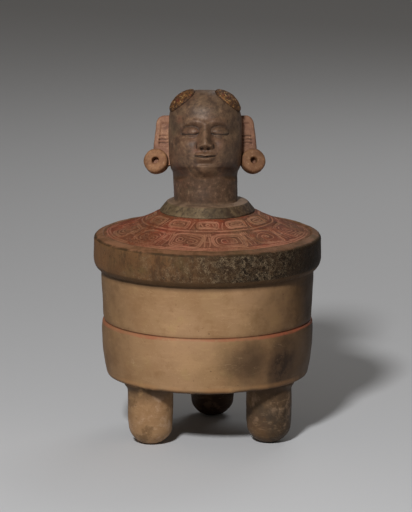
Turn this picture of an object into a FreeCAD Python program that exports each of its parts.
import FreeCAD, Part
import math
import os

import Sketcher

# A fired clay vessel on three round-ended legs. Its domed lid caps the mouth and
# carries a modelled head as its handle. Millimetres, +Z up, the face looks along -Y,
# and the origin lies on the floor under the vessel's axis.

doc = FreeCAD.newDocument("lidded_tripod_vessel")
sheet = doc.addObject("Spreadsheet::Sheet", "Sizes")

# Driving dimensions, by the piece that carries them. Angles are in degrees.
sizes = {
    # floor slab
    "leg_height": 56.2,
    "floor_thickness": 8.5,
    # lower wall
    "wall_thickness": 7.5,
    "belly_radius": 96.6,
    "belly_taper": 4.6,
    "belly_bulge": 1.9,
    "base_round": 3.0,
    "shoulder_depth": 7.0,
    "shoulder_bulge": 0.5,
    # upper wall
    "step_height": 110.0,
    "step_ledge": 1.2,
    "seam_depth": 0.6,
    "seam_rise": 2.5,
    "wall_flare": 1.8,
    "rim_height": 179.0,
    "rim_round": 2.2,
    # legs
    "leg_radius": 20.6,
    "leg_inset": 0.8,
    "leg_wall": 6.5,
    "leg_flare": 2.6,
    "leg_flare_height": 8.0,
    "leg_flare_bulge": 0.9,
    "foot_flat_radius": 4.0,
    "foot_round_height": 19.0,
    "leg_vent_radius": 2.5,
    "leg_vent_height": 38.0,
    "leg_front_left_angle": 220.0,
    "leg_front_right_angle": 326.0,
    "leg_rear_angle": 86.0,
    # lid rim
    "lid_clearance": 0.9,
    "skirt_thickness": 5.9,
    "skirt_depth": 24.7,
    "skirt_toe": 1.4,
    "skirt_round_height": 10.5,
    "skirt_round_bulge": 1.6,
    "lid_edge_rise": 5.9,
    "lid_edge_round": 1.6,
    # lid dome
    "lid_border": 9.6,
    "lid_border_rise": 3.2,
    "dome_sag": 1.8,
    "dome_thickness": 7.5,
    "seat_overhang": 2.0,
    "dome_vent_radius": 5.0,
    # lines cut in the dome: two rings with a band of eight-sided frames between them
    "line_width": 1.8,
    "line_depth": 0.8,
    "inner_ring_margin": 16.0,
    "outer_ring_margin": 3.0,
    "frame_margin": 19.4,
    "frame_half_length": 15.8,
    "frame_half_width": 12.0,
    "frame_corner": 6.5,
    "frame_turn": 15.0,
    # collar round the neck
    "collar_width": 14.6,
    "collar_foot_rise": 28.3,
    "collar_bed_rise": 3.7,
    "collar_lip": 1.4,
    "collar_taper": 6.7,
    "collar_height": 8.8,
    "collar_crown": 1.4,
    # neck
    "neck_radius": 28.9,
    "neck_flare": 1.7,
    "neck_height": 38.0,
    "neck_shift": 1.5,
    "neck_seat_margin": 1.0,
    "neck_bore_radius": 15.0,
    # head
    "head_width": 66.6,
    "head_depth": 73.0,
    "head_height": 81.0,
    "head_shift": 2.0,
    "head_forward": 6.0,
    "head_base_rise": 26.0,
    "head_tilt": 13.0,
    "head_hollow_radius": 15.5,
    "head_hollow_half_height": 27.0,
    # hair patches
    "hair_thickness": 2.6,
    "hair_half_width": 12.5,
    "hair_half_depth": 16.5,
    "hair_from_middle": 22.5,
    "hair_forward": 12.0,
    # ears and ear spools
    "ear_turn": 12.0,
    "ear_stand_out": 11.7,
    "ear_height": 50.0,
    "ear_bottom": 9.0,
    "ear_thickness": 7.0,
    "ear_back": 5.0,
    "ear_round": 7.0,
    "ear_panel_margin": 3.2,
    "ear_panel_height": 23.0,
    "ear_panel_depth": 1.0,
    "spool_radius": 10.9,
    "spool_thickness": 8.5,
    "spool_round": 2.2,
    "spool_hole_radius": 3.1,
    "spool_inset": 0.8,
    "spool_rise": 8.0,
    # brow, eye sockets, cheeks, the mound round the mouth, and chin
    "brow_from_middle": 11.0,
    "brow_half_width": 10.0,
    "brow_half_height": 4.0,
    "brow_reach": 2.2,
    "socket_from_middle": 14.0,
    "socket_half_width": 8.5,
    "socket_half_height": 5.6,
    "socket_reach": -3.2,
    "cheek_from_middle": 17.0,
    "cheek_half_width": 9.0,
    "cheek_half_height": 9.0,
    "cheek_reach": 2.4,
    "muzzle_half_width": 12.0,
    "muzzle_half_height": 7.5,
    "muzzle_reach": 2.4,
    "chin_half_width": 9.0,
    "chin_half_height": 5.0,
    "chin_reach": 3.4,
    # nose, eyelids and lips
    "nose_half_width": 7.0,
    "nose_reach": 9.5,
    "eye_half_width": 8.8,
    "eye_half_height": 5.6,
    "eye_reach": 6.4,
    "eye_sink": 4.4,
    "lip_half_width": 11.0,
    "lip_half_height": 2.3,
    "lip_reach": 2.8,
    "mouth_gap": 0.4,
    # how far a cutting tool runs past what it cuts
    "overrun": 4.0,
}


class Size:
    # a number that keeps the spreadsheet formula it came from
    def __init__(self, value, formula):
        self.value = value
        self.formula = formula

    def __add__(self, other):
        other = as_size(other)
        return Size(self.value + other.value, f"({self.formula} + {other.formula})")

    def __radd__(self, other):
        return as_size(other) + self

    def __sub__(self, other):
        other = as_size(other)
        return Size(self.value - other.value, f"({self.formula} - {other.formula})")

    def __rsub__(self, other):
        return as_size(other) - self

    def __mul__(self, other):
        other = as_size(other)
        return Size(self.value * other.value, f"({self.formula} * {other.formula})")

    __rmul__ = __mul__

    def __truediv__(self, other):
        other = as_size(other)
        return Size(self.value / other.value, f"({self.formula} / {other.formula})")

    def __neg__(self):
        return self * -1


def as_size(number):
    return number if isinstance(number, Size) else Size(float(number), f"{float(number)!r}")


def cosine(angle):
    return Size(math.cos(math.radians(angle.value)), f"cos({angle.formula} * 1 deg)")


def sine(angle):
    return Size(math.sin(math.radians(angle.value)), f"sin({angle.formula} * 1 deg)")


def root(number):
    return Size(math.sqrt(number.value), f"sqrt({number.formula})")


class SizeSheet:
    # the spreadsheet, read as attributes: lid_radius is the cell of that alias
    def __init__(self):
        for row, (alias, number) in enumerate(sizes.items(), start=1):
            sheet.set(f"A{row}", alias)
            sheet.set(f"B{row}", str(number))
            sheet.setAlias(f"B{row}", alias)
        doc.recompute()

    def __getattr__(self, alias):
        return Size(sizes[alias], f"Sizes.{alias}")


size = SizeSheet()
quarter_arc_share = 1 - math.sqrt(0.5)  # bulge of a quarter circle, as a share of its radius


def bind(thing, name, amount):
    thing.setExpression(name, as_size(amount).formula)


def place(thing, x=0, y=0, z=0, axis=(0, 0, 1), angle=None):
    # sets a piece down at x, y, z, turned about an axis through its own origin
    turned_by = angle.value if angle else 0
    turn = FreeCAD.Rotation(FreeCAD.Vector(*axis), turned_by)
    spot = FreeCAD.Vector(*[as_size(number).value for number in (x, y, z)])
    thing.Placement = FreeCAD.Placement(spot, turn)
    for letter, number in (("x", x), ("y", y), ("z", z)):
        if isinstance(number, Size):
            bind(thing, f"Placement.Base.{letter}", number)
    if angle:
        thing.setExpression("Placement.Rotation.Angle", f"{angle.formula} * 1 deg")
    return thing


def origin_plane(body, role):
    return next(plane for plane in body.Origin.OriginFeatures if plane.Role == role)


def new_sketch(body, role):
    sketch = body.newObject("Sketcher::SketchObject", "outline")
    sketch.AttachmentSupport = (origin_plane(body, role), [""])
    sketch.MapMode = "FlatFace"
    return sketch


def arc_between(start, end, bulge):
    # the arc from start to end whose middle stands off the chord by bulge, to the right
    chord = end - start
    right = FreeCAD.Vector(chord.y, -chord.x, 0).normalize()
    radius = chord.Length**2 / (8 * abs(bulge)) + abs(bulge) / 2
    centre = (start + end) / 2 + right * (bulge - math.copysign(radius, bulge))
    first, last = (start, end) if bulge > 0 else (end, start)
    angles = [math.atan2(point.y - centre.y, point.x - centre.x) for point in (first, last)]
    circle = Part.Circle(centre, FreeCAD.Vector(0, 0, 1), radius)
    return Part.ArcOfCircle(circle, *angles)


def draw_outline(sketch, corners):
    # corners are (across, up) or (across, up, bulge of the edge that arrives there)
    spots = [FreeCAD.Vector(as_size(c[0]).value, as_size(c[1]).value, 0) for c in corners]
    edges = []
    for index, corner in enumerate(corners):
        start, end = spots[index - 1], spots[index]
        if len(corner) == 3:
            bulge = corner[2]
            edge = sketch.addGeometry(arc_between(start, end, bulge.value), False)
            edges.append((edge, (1, 2) if bulge.value > 0 else (2, 1)))
            before = corners[index - 1]
            run, climb = corner[0] - before[0], corner[1] - before[1]
            high = bulge if bulge.value > 0 else -bulge
            radius = (run * run + climb * climb) / (8 * high) + high / 2
            mark = sketch.addConstraint(Sketcher.Constraint("Radius", edge, radius.value))
            bind(sketch, f"Constraints[{mark}]", radius)
        else:
            edges.append((sketch.addGeometry(Part.LineSegment(start, end), False), (1, 2)))
    for index, (edge, ends) in enumerate(edges):
        following, following_ends = edges[(index + 1) % len(edges)]
        sketch.addConstraint(
            Sketcher.Constraint("Coincident", edge, ends[1], following, following_ends[0])
        )
        across, up = corners[index][:2]
        for kind, amount, axis in (("DistanceX", across, -2), ("DistanceY", up, -1)):
            amount = as_size(amount)
            if amount.value == 0:
                sketch.addConstraint(Sketcher.Constraint("PointOnObject", edge, ends[1], axis))
                continue
            mark = sketch.addConstraint(
                Sketcher.Constraint(kind, -1, 1, edge, ends[1], amount.value)
            )
            bind(sketch, f"Constraints[{mark}]", amount)


def turned(label, corners):
    # a body of revolution about its own Z
    body = doc.addObject("PartDesign::Body", label)
    sketch = new_sketch(body, "XZ_Plane")
    draw_outline(sketch, corners)
    turn = body.newObject("PartDesign::Revolution", "turn")
    turn.Profile = sketch
    turn.ReferenceAxis = (sketch, ["V_Axis"])
    turn.Angle = 360
    sketch.Visibility = False
    return body


def boolean(kind, label, base, tool):
    result = doc.addObject(f"Part::{kind}", label)
    result.Base = base
    result.Tool = tool
    return result


def cut(label, base, tool):
    return boolean("Cut", label, base, tool)


def gathered(label, thing):
    # a copy of one shape that can be set down somewhere else
    copy = doc.addObject("Part::Compound", label)
    copy.Links = [thing]
    return copy


# Floor and walls
floor_top = size.leg_height + size.floor_thickness
wall_base_radius = size.belly_radius - size.belly_taper
floor_radius = wall_base_radius - size.wall_thickness
shoulder_height = size.step_height - size.shoulder_depth
wall_foot_radius = size.belly_radius - size.step_ledge
wall_foot_inside = wall_foot_radius - size.wall_thickness
wall_top_radius = wall_foot_radius + size.wall_flare
wall_top_inside = wall_top_radius - size.wall_thickness
seam_radius = wall_foot_radius - size.seam_depth
skirt_bottom = size.rim_height - size.skirt_depth

belly_outline = [
    (wall_base_radius - size.base_round, size.leg_height),
    (wall_base_radius, size.leg_height + size.base_round, size.base_round * quarter_arc_share),
    (size.belly_radius, shoulder_height, size.belly_bulge),
    (seam_radius, size.step_height, size.shoulder_bulge),
]


def make_floor_slab():
    return turned("floor_slab", [
        (0, size.leg_height),
        (floor_radius, size.leg_height),
        (floor_radius, floor_top),
        (0, floor_top),
    ])


def make_lower_wall():
    return turned("lower_wall", [
        (floor_radius, size.leg_height),
        *belly_outline,
        (wall_foot_inside, size.step_height),
        (floor_radius, floor_top),
    ])


def make_upper_wall():
    round_bulge = size.rim_round * quarter_arc_share
    return turned("upper_wall", [
        (seam_radius, size.step_height),
        (wall_foot_radius, size.step_height + size.seam_rise),
        (wall_top_radius, skirt_bottom),
        (wall_top_radius, size.rim_height - size.rim_round),
        (wall_top_radius - size.rim_round, size.rim_height, round_bulge),
        (wall_top_inside + size.rim_round, size.rim_height),
        (wall_top_inside, size.rim_height - size.rim_round, round_bulge),
        (wall_foot_inside, size.step_height),
    ])


def make_vessel_envelope():
    # everything that the vessel's floor and lower wall close off, as one solid
    return turned("vessel_envelope", [
        (0, size.leg_height),
        *belly_outline,
        (0, size.step_height),
    ])


# Legs
leg_circle_radius = wall_base_radius - size.base_round - size.leg_inset - size.leg_radius


def foot_round_radius(radius, flat):
    # radius of the foot's round end, tangent to the side and cut off at the flat spot
    spread = (radius + flat) / 2
    drop = size.foot_round_height * size.foot_round_height / (2 * (radius - flat))
    return radius - spread + drop


def make_leg(label, angle, envelope):
    bore = size.leg_radius - size.leg_wall
    top = size.leg_height + size.base_round
    round_run = size.leg_radius - size.foot_flat_radius
    round_chord = root(round_run * round_run + size.foot_round_height * size.foot_round_height)
    round_radius = foot_round_radius(size.leg_radius, size.foot_flat_radius)
    half_chord = round_chord / 2
    round_bulge = round_radius - root(round_radius * round_radius - half_chord * half_chord)
    bore_round_height = size.foot_round_height - size.leg_wall
    body = turned(label + "_blank", [
        (0, 0),
        (size.foot_flat_radius, 0),
        (size.leg_radius, size.foot_round_height, round_bulge),
        (size.leg_radius, top - size.leg_flare_height),
        (size.leg_radius + size.leg_flare, top, -size.leg_flare_bulge),
        (bore, top),
        (bore, size.leg_wall + bore_round_height),
        (0, size.leg_wall, -bore * quarter_arc_share),
    ])
    vent = new_sketch(body, "YZ_Plane")
    ring = vent.addGeometry(
        Part.Circle(
            FreeCAD.Vector(0, size.leg_vent_height.value, 0),
            FreeCAD.Vector(0, 0, 1),
            size.leg_vent_radius.value,
        ),
        False,
    )
    vent.addConstraint(Sketcher.Constraint("PointOnObject", ring, 3, -2))
    marks = [
        vent.addConstraint(
            Sketcher.Constraint("DistanceY", -1, 1, ring, 3, size.leg_vent_height.value)
        ),
        vent.addConstraint(Sketcher.Constraint("Radius", ring, size.leg_vent_radius.value)),
    ]
    bind(vent, f"Constraints[{marks[0]}]", size.leg_vent_height)
    bind(vent, f"Constraints[{marks[1]}]", size.leg_vent_radius)
    doc.recompute()
    solid_volume = body.Shape.Volume
    pocket = body.newObject("PartDesign::Pocket", "vent")
    pocket.Profile = vent
    pocket.Type = "Length"
    bind(pocket, "Length", size.leg_radius + size.overrun)
    vent.Visibility = False
    doc.recompute()
    if body.Shape.Volume >= solid_volume:
        raise RuntimeError("the leg's vent cuts nothing")
    place(
        body,
        leg_circle_radius * cosine(angle),
        leg_circle_radius * sine(angle),
        0,
        angle=angle,
    )
    return cut(label, body, envelope)


# Lid
skirt_inside = wall_top_radius + size.lid_clearance
lid_radius = skirt_inside + size.skirt_thickness
dome_radius = lid_radius - size.lid_border
collar_radius = size.neck_radius + size.collar_width
collar_foot_height = size.rim_height + size.collar_foot_rise
crown_height = collar_foot_height + size.collar_bed_rise
collar_top_height = collar_foot_height + size.collar_height
lid_edge_height = size.rim_height + size.lid_edge_rise
dome_edge_height = lid_edge_height + size.lid_border_rise
neck_seat_radius = size.neck_radius + size.neck_shift + size.neck_seat_margin
collar_bed = [
    (neck_seat_radius, crown_height),
    (collar_radius, collar_foot_height),
]


def make_lid_rim():
    round_bulge = size.lid_edge_round * quarter_arc_share
    return turned("lid_rim", [
        (skirt_inside, skirt_bottom),
        (skirt_inside + size.skirt_toe, skirt_bottom),
        (lid_radius, skirt_bottom + size.skirt_round_height, size.skirt_round_bulge),
        (lid_radius, lid_edge_height - size.lid_edge_round),
        (lid_radius - size.lid_edge_round, lid_edge_height, round_bulge),
        (dome_radius, dome_edge_height),
        (dome_radius, size.rim_height),
        (skirt_inside, size.rim_height),
    ])


def make_ring_line(label, radius):
    inside, outside = radius - size.line_width / 2, radius + size.line_width / 2
    return turned(label, [
        (inside, size.rim_height),
        (outside, size.rim_height),
        (outside, crown_height),
        (inside, crown_height),
    ])


frame_count = 12
corner_inset_share = 2 - math.sqrt(2)  # how fast a 45 degree corner shortens with its inset


def frame_corners(inset):
    # an eight-sided frame's outline, drawn from its own corner, moved in by inset
    corner = size.frame_corner - inset * corner_inset_share
    low = inset
    far, high = size.frame_half_width * 2 - inset, size.frame_half_length * 2 - inset
    return [
        (low + corner, low), (far - corner, low), (far, low + corner), (far, high - corner),
        (far - corner, high), (low + corner, high), (low, high - corner), (low, low + corner),
    ]


def make_frames():
    # one frame is drawn and padded, then set down all round the dome
    body = doc.addObject("PartDesign::Body", "frame")
    sketch = new_sketch(body, "XY_Plane")
    for inset in (as_size(0), size.line_width):
        draw_outline(sketch, frame_corners(inset))
    raised = body.newObject("PartDesign::Pad", "frame_pad")
    raised.Profile = sketch
    bind(raised, "Length", crown_height)
    frame_radius = dome_radius - size.frame_margin
    place(body, frame_radius - size.frame_half_width, -size.frame_half_length)
    frames = []
    for index in range(frame_count):
        turn = size.frame_turn + 360 / frame_count * index
        frames.append(place(gathered(f"frame_{index + 1}", body), angle=turn))
    return frames


def make_dome_lines():
    # the tools above a bed that lies a line's depth under the dome's face
    bed = turned("line_bed", [
        (dome_radius, dome_edge_height - size.line_depth),
        (collar_radius, collar_foot_height - size.line_depth, -size.dome_sag),
        (collar_radius, crown_height),
        (dome_radius, crown_height),
    ])
    tools = doc.addObject("Part::Compound", "line_tools")
    tools.Links = [
        make_ring_line("inner_ring", collar_radius + size.inner_ring_margin),
        make_ring_line("outer_ring", dome_radius - size.outer_ring_margin),
        *make_frames(),
    ]
    return boolean("Common", "dome_lines", tools, bed)


def make_lid_dome():
    plain = turned("dome_blank", [
        (size.dome_vent_radius, crown_height - size.dome_thickness),
        (neck_seat_radius, crown_height - size.dome_thickness),
        (collar_radius, collar_foot_height - size.dome_thickness),
        (wall_top_inside - size.seat_overhang, size.rim_height, size.dome_sag),
        (dome_radius, size.rim_height),
        (dome_radius, dome_edge_height),
        (collar_radius, collar_foot_height, -size.dome_sag),
        (neck_seat_radius, crown_height),
        (size.dome_vent_radius, crown_height),
    ])
    return cut("lid_dome", plain, make_dome_lines())


def make_lid_collar(neck_blank):
    blank = turned("collar_blank", [
        (0, crown_height),
        *collar_bed,
        (collar_radius, collar_foot_height + size.collar_lip),
        (collar_radius - size.collar_taper, collar_top_height),
        (0, collar_top_height + size.collar_crown),
    ])
    return cut("lid_collar", blank, neck_blank)


def make_neck_blank():
    blank = turned("neck_blank", [
        (0, crown_height),
        (size.neck_radius, crown_height),
        (size.neck_radius + size.neck_flare, crown_height + size.neck_height),
        (0, crown_height + size.neck_height),
    ])
    return place(blank, -size.neck_shift)


def make_neck_bore():
    bore = doc.addObject("Part::Cylinder", "neck_bore")
    bind(bore, "Radius", size.neck_bore_radius)
    bind(bore, "Height", size.head_base_rise + size.head_hollow_half_height)
    return place(bore, -size.neck_shift, 0, crown_height)


# Head. Each level of the head is an oval: how high it lies, its half width, how far
# it reaches forwards and how far back, as shares of the head's height, half width and
# half depth.
head_level_shares = [0.0, 0.05, 0.13, 0.30, 0.52, 0.74, 0.88, 0.965, 1.0]
head_width_shares = [0.66, 0.85, 0.945, 0.985, 1.0, 0.975, 0.85, 0.60, 0.36]
head_front_shares = [0.62, 0.86, 0.97, 0.97, 0.99, 0.97, 0.82, 0.56, 0.34]
head_back_shares = [0.52, 0.74, 0.87, 0.96, 1.02, 1.02, 0.90, 0.66, 0.40]
oval_points = 32
# the levels that the head is drawn at
drawn_level_shares = [
    0.0, 0.05, 0.10, 0.17, 0.235, 0.30, 0.36, 0.44, 0.525,
    0.575, 0.625, 0.70, 0.79, 0.88, 0.94, 0.98, 1.0,
]
eye_level_share = 0.525
mouth_level_share = 0.235
# the forms of the face, the level each lies at, and how far off the middle a pair stands
face_forms = [
    ("brow", 0.625, size.brow_from_middle),
    ("socket", eye_level_share, size.socket_from_middle),
    ("cheek", 0.36, size.cheek_from_middle),
    ("muzzle", mouth_level_share, as_size(0)),
    ("chin", 0.10, as_size(0)),
]


def share_at(level, shares):
    # a share at any level, on a smooth curve through the ones above
    last = len(shares) - 1
    index = next(i for i in range(last) if level <= head_level_shares[i + 1])
    slopes = []
    for near in (index, index + 1):
        low, high = max(near - 1, 0), min(near + 1, last)
        rise = head_level_shares[high] - head_level_shares[low]
        slopes.append((shares[high] - shares[low]) / rise)
    run = head_level_shares[index + 1] - head_level_shares[index]
    part = (level - head_level_shares[index]) / run
    ease = part * part * (3 - 2 * part)
    straight = shares[index] * (1 - ease) + shares[index + 1] * ease
    bend = part * (1 - part) * ((1 - part) * slopes[0] - part * slopes[1])
    return straight + bend * run


def face_relief(across, height):
    # how far the clay stands out from the plain head at a place on the face
    total = 0
    for name, level, from_middle in face_forms:
        half_width, half_height, reach = [
            sizes[f"{name}_{part}"] for part in ("half_width", "half_height", "reach")
        ]
        wide = (abs(across) - from_middle.value) / half_width
        high = (height - size.head_height.value * level) / half_height
        total += reach * math.exp(-wide * wide - high * high)
    return total


def closed_curve(points):
    # evenly spaced parameters, so that every level of a loft bends at the same places
    curve = Part.BSplineCurve()
    spacing = [float(index) for index in range(len(points) + 1)]
    curve.interpolate(Points=points, PeriodicFlag=True, Parameters=spacing)
    return Part.Wire([curve.toShape()])


def head_oval(level, extra):
    # one level's closed outline, grown all round by extra
    half_width = size.head_width.value / 2 * share_at(level, head_width_shares) + extra
    reach_front = size.head_depth.value / 2 * share_at(level, head_front_shares) + extra
    reach_back = size.head_depth.value / 2 * share_at(level, head_back_shares) + extra
    height = size.head_height.value * level + extra * (2 * level - 1)
    points = []
    for index in range(oval_points):
        angle = 2 * math.pi * index / oval_points
        across, along = half_width * math.cos(angle), math.sin(angle)
        if along > 0:
            depth = reach_back * along
        else:
            depth = reach_front * along + face_relief(across, height) * along
        points.append(FreeCAD.Vector(across, depth, height))
    return closed_curve(points)


def make_head_form(label, extra):
    form = doc.addObject("Part::Feature", label)
    form.Shape = Part.makeLoft([head_oval(level, extra) for level in drawn_level_shares], True)
    return form


def face_depth(level, across):
    # where the plain head's front lies at a level and a distance from its middle
    half_width = size.head_width * (share_at(level, head_width_shares) / 2)
    reach = size.head_depth * (share_at(level, head_front_shares) / 2)
    part = across / half_width
    return -(reach * root(1 - part * part))


def pad(label, half_width, reach, half_height, level, across, sink):
    # an egg of clay whose middle lies deeper than the plain head's front by sink
    egg = ellipsoid(label, half_width, reach, half_height)
    return place(egg, across, face_depth(level, across) + sink, size.head_height * level)


def set_on_head(thing):
    # from the head's own frame to its place on the neck, tilted back
    return place(
        thing,
        -size.head_shift,
        -size.head_forward,
        crown_height + size.head_base_rise,
        axis=(-1, 0, 0),
        angle=size.head_tilt,
    )


def mirrored(label, thing):
    # the same piece on the other side of the head
    other = doc.addObject("Part::Mirroring", label)
    other.Source = thing
    other.Normal = FreeCAD.Vector(1, 0, 0)
    other.Base = FreeCAD.Vector(-size.head_shift.value, 0, 0)
    bind(other, "Base.x", -size.head_shift)
    return other


def ellipsoid(label, half_x, half_y, half_z):
    shape = doc.addObject("Part::Ellipsoid", label)
    bind(shape, "Radius1", half_z)
    bind(shape, "Radius2", half_x)
    bind(shape, "Radius3", half_y)
    return shape


def make_head(head_form, neck_bore):
    hollow = ellipsoid(
        "head_hollow",
        size.head_hollow_radius,
        size.head_hollow_radius,
        size.head_hollow_half_height,
    )
    place(hollow, 0, 0, size.head_height / 2)
    shell = set_on_head(cut("head_shell", head_form, hollow))
    return cut("head", shell, neck_bore)


def make_neck(neck_blank, head_form, neck_bore):
    head_in_place = set_on_head(gathered("head_in_place", head_form))
    return cut("neck", cut("neck_stub", neck_blank, head_in_place), neck_bore)


# Nose: levels as shares of the head's height, then width and reach as shares of the nose's
nose_level_shares = [0.335, 0.365, 0.42, 0.52, 0.60]
nose_width_shares = [0.66, 1.0, 0.80, 0.52, 0.46]
nose_reach_shares = [0.62, 1.0, 0.88, 0.50, 0.22]


def make_nose(head_form):
    # ovals round the front line of the face, so that half of each lies in the head
    ovals = []
    for level, width, reach in zip(nose_level_shares, nose_width_shares, nose_reach_shares):
        half_width = size.nose_half_width.value * width
        half_depth = size.nose_reach.value * reach
        middle = face_depth(level, as_size(0)).value
        height = size.head_height.value * level
        points = []
        for index in range(oval_points):
            angle = 2 * math.pi * index / oval_points
            across = half_width * math.cos(angle)
            along = middle + half_depth * math.sin(angle)
            points.append(FreeCAD.Vector(across, along, height))
        ovals.append(closed_curve(points))
    blank = doc.addObject("Part::Feature", "nose_blank")
    blank.Shape = Part.makeLoft(ovals, True)
    return set_on_head(cut("nose", blank, head_form))


def make_eyelid(head_form):
    blank = pad(
        "eye_blank", size.eye_half_width, size.eye_reach, size.eye_half_height,
        eye_level_share, size.socket_from_middle, size.eye_sink,
    )
    return set_on_head(cut("eyelid_right", blank, head_form))


def make_lip(label, side, head_form):
    # side is 1 for the upper lip and -1 for the lower
    blank = pad(
        label + "_blank", size.lip_half_width, size.lip_reach, size.lip_half_height,
        mouth_level_share, as_size(0), -size.muzzle_reach,
    )
    off_mouth = (size.lip_half_height + size.mouth_gap / 2) * side
    bind(blank, "Placement.Base.z", size.head_height * mouth_level_share + off_mouth)
    return set_on_head(cut(label, blank, head_form))


def make_hair_patch(head_form):
    # a pad of even thickness that lies on the crown and hangs over the temple
    grown = make_head_form("hair_form", size.hair_thickness.value)
    stamp = ellipsoid(
        "hair_stamp", size.hair_half_width, size.hair_half_depth, size.head_height / 2
    )
    place(stamp, size.hair_from_middle, -size.hair_forward, size.head_height)
    patch = boolean("Common", "hair_patch_blank", grown, stamp)
    return set_on_head(cut("hair_patch_right", patch, head_form))


ear_reach = size.head_width / 2 + size.ear_stand_out


def make_ear_panel(head_form, neck_blank):
    # a flat upright slab that stands out from the side of the head, with a sunk panel
    body = doc.addObject("PartDesign::Body", "ear_blank")
    sketch = new_sketch(body, "XZ_Plane")
    inner = ear_reach - size.head_width / 4
    top = size.ear_bottom + size.ear_height
    round_bulge = size.ear_round * quarter_arc_share
    draw_outline(sketch, [
        (inner, size.ear_bottom),
        (ear_reach - size.ear_round, size.ear_bottom),
        (ear_reach, size.ear_bottom + size.ear_round, round_bulge),
        (ear_reach, top - size.ear_round),
        (ear_reach - size.ear_round, top, round_bulge),
        (inner, top),
    ])
    slab = body.newObject("PartDesign::Pad", "slab")
    slab.Profile = sketch
    bind(slab, "Length", size.ear_thickness)
    panel = doc.addObject("Part::Box", "ear_panel_recess")
    bind(panel, "Length", size.head_width / 4)
    bind(panel, "Width", size.ear_panel_depth + size.overrun)
    bind(panel, "Height", size.ear_panel_height)
    place(
        panel,
        inner - size.ear_panel_margin,
        -size.ear_thickness - size.overrun,
        top - size.ear_panel_margin - size.ear_panel_height,
    )
    slab_with_panel = gathered("ear_turned", cut("ear_slab", body, panel))
    place(slab_with_panel, 0, size.ear_back, 0, angle=size.ear_turn)
    panel_on_head = set_on_head(cut("ear_on_head", slab_with_panel, head_form))
    return cut("ear_panel_right", panel_on_head, neck_blank)


def make_ear_spool(head_form):
    # a thick ring of clay that faces forwards from the foot of the ear
    round_bulge = size.spool_round * quarter_arc_share
    ring = turned("spool_ring", [
        (size.spool_hole_radius, 0),
        (size.spool_radius - size.spool_round, 0),
        (size.spool_radius, size.spool_round, round_bulge),
        (size.spool_radius, size.spool_thickness - size.spool_round),
        (size.spool_radius - size.spool_round, size.spool_thickness, round_bulge),
        (size.spool_hole_radius + size.spool_round, size.spool_thickness),
        (size.spool_hole_radius, size.spool_thickness - size.spool_round, round_bulge),
    ])
    facing = as_size(90)
    place(
        ring,
        ear_reach - size.spool_inset,
        -size.ear_thickness,
        size.ear_bottom + size.spool_rise,
        axis=(1, 0, 0),
        angle=facing,
    )
    ring_turned = place(gathered("spool_turned", ring), 0, size.ear_back, 0, angle=size.ear_turn)
    return set_on_head(cut("ear_spool_right", ring_turned, head_form))


def make_all():
    pieces = [make_floor_slab(), make_lower_wall(), make_upper_wall()]
    envelope = make_vessel_envelope()
    for name in ("front_left", "front_right", "rear"):
        pieces.append(make_leg(f"leg_{name}", getattr(size, f"leg_{name}_angle"), envelope))
    neck_blank = make_neck_blank()
    neck_bore = make_neck_bore()
    pieces += [make_lid_rim(), make_lid_dome(), make_lid_collar(neck_blank)]
    head_form = make_head_form("head_form", 0)
    pieces += [make_neck(neck_blank, head_form, neck_bore), make_head(head_form, neck_bore)]
    pieces += [
        make_nose(head_form),
        make_lip("upper_lip", 1, head_form),
        make_lip("lower_lip", -1, head_form),
    ]
    right_pieces = [
        make_eyelid(head_form),
        make_hair_patch(head_form),
        make_ear_panel(head_form, neck_blank),
        make_ear_spool(head_form),
    ]
    for right in right_pieces:
        pieces += [right, mirrored(right.Label.replace("right", "left"), right)]
    return pieces


def check_document():
    doc.recompute()
    for thing in doc.Objects:
        if "Invalid" in thing.State or "Error" in thing.State:
            raise RuntimeError(f"{thing.Label} failed: {thing.State}")


def write_pieces(pieces):
    os.makedirs("parts", exist_ok=True)
    for piece in pieces:
        shape = piece.Shape
        if shape.isNull() or not shape.isValid() or len(shape.Solids) != 1:
            raise RuntimeError(f"{piece.Label} is not one sound solid")
    for piece in pieces:
        piece.Shape.exportStep(f"parts/{piece.Label}.step")
        print(f"{piece.Label}: {piece.Shape.Volume:.0f} mm3, {len(piece.Shape.Faces)} faces")


all_pieces = make_all()
check_document()
write_pieces(all_pieces)
